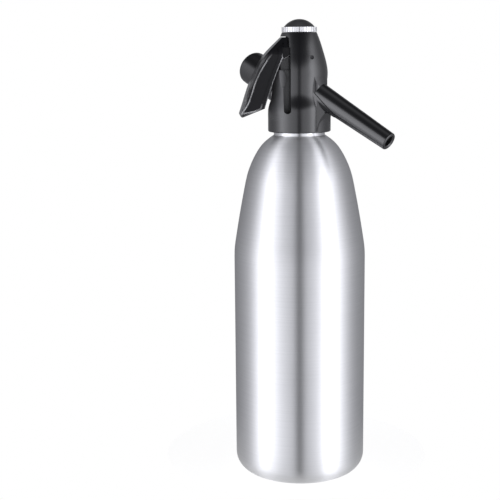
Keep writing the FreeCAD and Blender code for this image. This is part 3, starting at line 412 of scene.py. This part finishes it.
# --- neck insert, nuts, valve stem and piercing pin --------------------------------------
# Brass turned from bar: the plated ring that carries the bottle's thread is moulded into the
# skirt, and the nuts close the valve chamber and hold the washer on the stem. The stem, and
# the pin that opens the bulb, are hard steel.
def machined(slot, colour, roughness, turns=None):
    """A part turned on a lathe, with its tool lines and, where turns is given, its thread."""
    material, tree, shader, place = finish(slot, 1.0, roughness, colour)
    lines = placed(tree, "spun_lines", {"Place": place, "Lines per m": 7000.0, "Wander": 30.0})
    bump = relief(tree, lines["Line"], strength=0.25, depth=0.00003)
    if turns:
        bump = relief(tree, threaded(tree, place, *turns), strength=1.0, depth=0.0005, under=bump)
    connect(tree, shader, {
        "Base Color": between(tree, lines["Patch"], tuple(part * 0.78 for part in colour), colour),
        "Roughness": plus(tree, roughness - 0.07, lines["Line"], share=0.14),
        "Normal": bump,
    })
    return material


plated_brass = machined("insert_brass", (0.70, 0.69, 0.67), roughness=0.30, turns=neck_thread)
dress("neck_insert", plated_brass)
valve_brass = machined("valve_brass", (0.74, 0.58, 0.32), roughness=0.22)
for nut in ("gland_nut", "riser_nut", "valve_nut"):
    dress(nut, valve_brass)
stem_steel = machined("stem_steel", (0.62, 0.62, 0.64), roughness=0.16)
dress("valve_stem", stem_steel)
dress("piercing_pin", stem_steel)


# --- seals -------------------------------------------------------------------------------
# Rings, washers and the check valve's sleeve, moulded in black rubber and left matt, with a
# faint pale bloom. Each sits in its seat and is held by the piece that it seals against.
def rubber(slot, colour):
    """Matt rubber with a fine skin and a little bloom."""
    material, tree, shader, place = finish(slot, 0.0, 0.72, colour)
    bloom = grain(tree, place, per_m=420.0, detail=5.0)
    skin = grain(tree, place, per_m=5200.0, detail=2.0)
    connect(tree, shader, {
        "Base Color": between(tree, bloom, colour, tuple(part + 0.035 for part in colour)),
        "Roughness": plus(tree, 0.62, bloom, share=0.2),
        "Normal": relief(tree, skin, strength=0.3, depth=0.00003),
    })
    return material


seal_rubber = rubber("seal_rubber", (0.03, 0.03, 0.03))
for seal in ("head_gasket", "cap_seal", "stem_seal", "spout_seal", "holder_ring", "charger_seal"):
    dress(seal, seal_rubber)
washer_rubber = rubber("washer_rubber", (0.05, 0.05, 0.05))
dress("valve_washer", washer_rubber)
dress("check_valve", washer_rubber)


# --- springs and hinge pin ---------------------------------------------------------------
# Two coils of drawn steel wire with a dull grey skin, one under the button and one under the
# valve, which on the real siphon shorten as the stem goes down. The hinge pin is a blackened
# rod, pushed through the head's cheeks and the lever.
def drawn(slot, colour, roughness):
    """Drawn steel wire or rod."""
    material, tree, shader, place = finish(slot, 1.0, roughness, colour)
    skin = grain(tree, place, per_m=3000.0, detail=3.0)
    connect(tree, shader, {
        "Base Color": between(tree, skin, tuple(part * 0.7 for part in colour), colour),
        "Roughness": plus(tree, roughness - 0.08, skin, share=0.16),
        "Normal": relief(tree, skin, strength=0.2, depth=0.00002),
    })
    return material


def squeezed_coil(node):
    """A copy of a spring's coil in its place, hung from the head in place of the hidden solid."""
    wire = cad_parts[node]
    coil = bpy.data.objects.new(node + "_coil", wire.data.copy())
    bpy.context.collection.objects.link(coil)
    coil.matrix_world = wire.matrix_world.copy()
    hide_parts(node)
    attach(coil, "head")
    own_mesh(coil)


spring_steel = drawn("spring_steel", (0.55, 0.55, 0.57), roughness=0.3)
for spring, foot in (("return_spring", 0.2830), ("valve_spring", 0.2511)):
    dress(spring, spring_steel)
    squeezed_coil(spring)
dress("lever_pin", drawn("pin_steel", (0.12, 0.12, 0.125), roughness=0.40))


# --- dip tubes ---------------------------------------------------------------------------
# Extruded white plastic, slightly see-through: the long riser and the short measuring tube.
# Both hang from the plug under the valve, and the die has left faint streaks along them.
drawn_out = (900.0, 900.0, 12.0)
creamy, whiter = (0.77, 0.77, 0.74), (0.86, 0.86, 0.84)
milky, milky_tree, milky_shader, milky_place = finish(
    "tube_plastic", metallic=0.0, roughness=0.38, colour=(0.82, 0.82, 0.80)
)
streak = fit(milky_tree, "ShaderNodeMapping", {"Vector": milky_place, "Scale": drawn_out}).outputs[0]
drag = grain(milky_tree, streak, per_m=1.0, detail=2.0)
connect(milky_tree, milky_shader, {
    "Base Color": between(milky_tree, drag, creamy, whiter),
    "Roughness": plus(milky_tree, 0.30, drag, share=0.16),
    "Subsurface Weight": 0.25,
    "Subsurface Radius": (0.002, 0.002, 0.002),
    "Normal": relief(milky_tree, drag, strength=0.15, depth=0.00003),
})
dress("riser_tube", milky)
dress("measuring_tube", milky)


# --- button ------------------------------------------------------------------------------
# A small dark grey nylon button, moulded satin and pressed onto the top of the stem. The
# lever's cross bar pushes on it.
grey_nylon = moulded("button_plastic", (0.08, 0.08, 0.085), roughness=0.42, gloss=0.5, rub_and_highlight=0.05)[0]
dress("stem_button", grey_nylon)


# --- lever -------------------------------------------------------------------------------
# A cast channel under thick black lacquer, hung on the hinge pin. Its sharp outer rims carry a
# painted highlight, a pale colour laid along them, which is left off the upper end and the
# edge just behind the front rim.
rim_top = Vector((-0.0123, 0.2881))
rim_foot = Vector((-0.0245, 0.2547))
unlit_middle, unlit_half = 0.0031, 0.0016
unlit_above = 0.2605
unlit_end = (0.2910, 0.2860)
rim_highlight_strength = 1.6


def rim_highlight(tree, place):
    """Where the rims carry the painted highlight: 0 on the upper end and just behind the front rim."""
    along = (rim_foot - rim_top).normalized()
    rearward = Vector((along.y, -along.x))
    at = fit(tree, "ShaderNodeSeparateXYZ", {0: place}).outputs
    behind = plus(tree, -rearward.dot(rim_top), at["X"], rearward.x)
    behind = plus(tree, behind, at["Z"], rearward.y)
    unlit = sums(tree, "COMPARE", behind, unlit_middle, unlit_half)
    unlit = sums(tree, "MULTIPLY", unlit, sums(tree, "GREATER_THAN", at["Z"], unlit_above))
    rim_lit = plus(tree, rim_highlight_strength, unlit, -rim_highlight_strength)
    return sums(tree, "MULTIPLY", ramp(tree, at["Z"], *unlit_end), rim_lit)


# The strong pale rim colour set here is a painted highlight on the lever's rims.
lacquer = moulded(
    "lever_plastic", (0.008, 0.008, 0.009), roughness=0.15, gloss=0.22, rub_and_highlight=0.60,
    rim=0.0010, patchy=110.0, where=rim_highlight,
)[0]
dress("lever", lacquer)


# --- cap and its ring --------------------------------------------------------------------
# The screw cap is a moulded dome, satin black, over a chromed ring with upright grip ribs.
# The plating is bright on the ribs, and painted shade darkens its colour in the grooves between them.
satin_black = moulded("cap_plastic", (0.038, 0.038, 0.040), roughness=0.40, gloss=0.9, rub_and_highlight=0.02)[0]
dress("top_cap", satin_black)

groove_reach = 0.0009
painted_groove_shade, rib_grey = (0.26, 0.26, 0.27), (0.72, 0.72, 0.73)
chrome, plating, plated, plate_place = finish(
    "ring_chrome", metallic=1.0, roughness=0.28, colour=(0.90, 0.90, 0.91)
)
film = grain(plating, plate_place, per_m=1400.0, detail=3.0)
# Painted shade: the plating's colour darkens where ambient occlusion finds the grooves closed in.
open_to_light = fit(plating, "ShaderNodeAmbientOcclusion", {"Distance": groove_reach}, samples=8).outputs["AO"]
cloudy = plus(plating, 0.88, film, share=0.2)
film_and_painted_shade = sums(plating, "MULTIPLY", ramp(plating, open_to_light, start=0.35, end=0.85), cloudy)
connect(plating, plated, {
    "Base Color": between(plating, film_and_painted_shade, painted_groove_shade, rib_grey),
    "Roughness": plus(plating, 0.22, film, share=0.12),
    "Normal": relief(plating, film, strength=0.08, depth=0.00002),
})
dress("cap_ring", chrome)


# --- charger -----------------------------------------------------------------------------
# The gas bulb is deep-drawn steel with a dull zinc plate; faint spangle shows on its wall.
# It lies in the holder with its neck toward the head, where a ring seals it round the pin.
light_spangle, dark_spangle = (0.66, 0.67, 0.69), (0.55, 0.56, 0.58)
zinc, zinc_tree, zinc_shader, zinc_place = finish(
    "charger_steel", metallic=1.0, roughness=0.34, colour=(0.62, 0.63, 0.65)
)
on_bulb = along_axis(zinc_tree, zinc_place, holder_foot, holder_way)
bulb_line = placed(zinc_tree, "spun_lines", {"Place": on_bulb, "Lines per m": 2500.0, "Wander": 14.0})["Line"]
spangle = fit(zinc_tree, "ShaderNodeTexVoronoi", {"Vector": zinc_place, "Scale": 700.0}).outputs["Distance"]
connect(zinc_tree, zinc_shader, {
    "Base Color": between(zinc_tree, spangle, light_spangle, dark_spangle),
    "Roughness": plus(zinc_tree, 0.27, bulb_line, share=0.14),
    "Normal": relief(zinc_tree, bulb_line, strength=0.15, depth=0.00003),
})
dress("co2_charger", zinc)


# --- charger holder ----------------------------------------------------------------------
# A long round-ended shell in the head's glossy plastic, which holds the bulb. It screws onto
# the nipple behind the lever and presses the bulb onto the piercing pin.
dress("charger_holder", black)
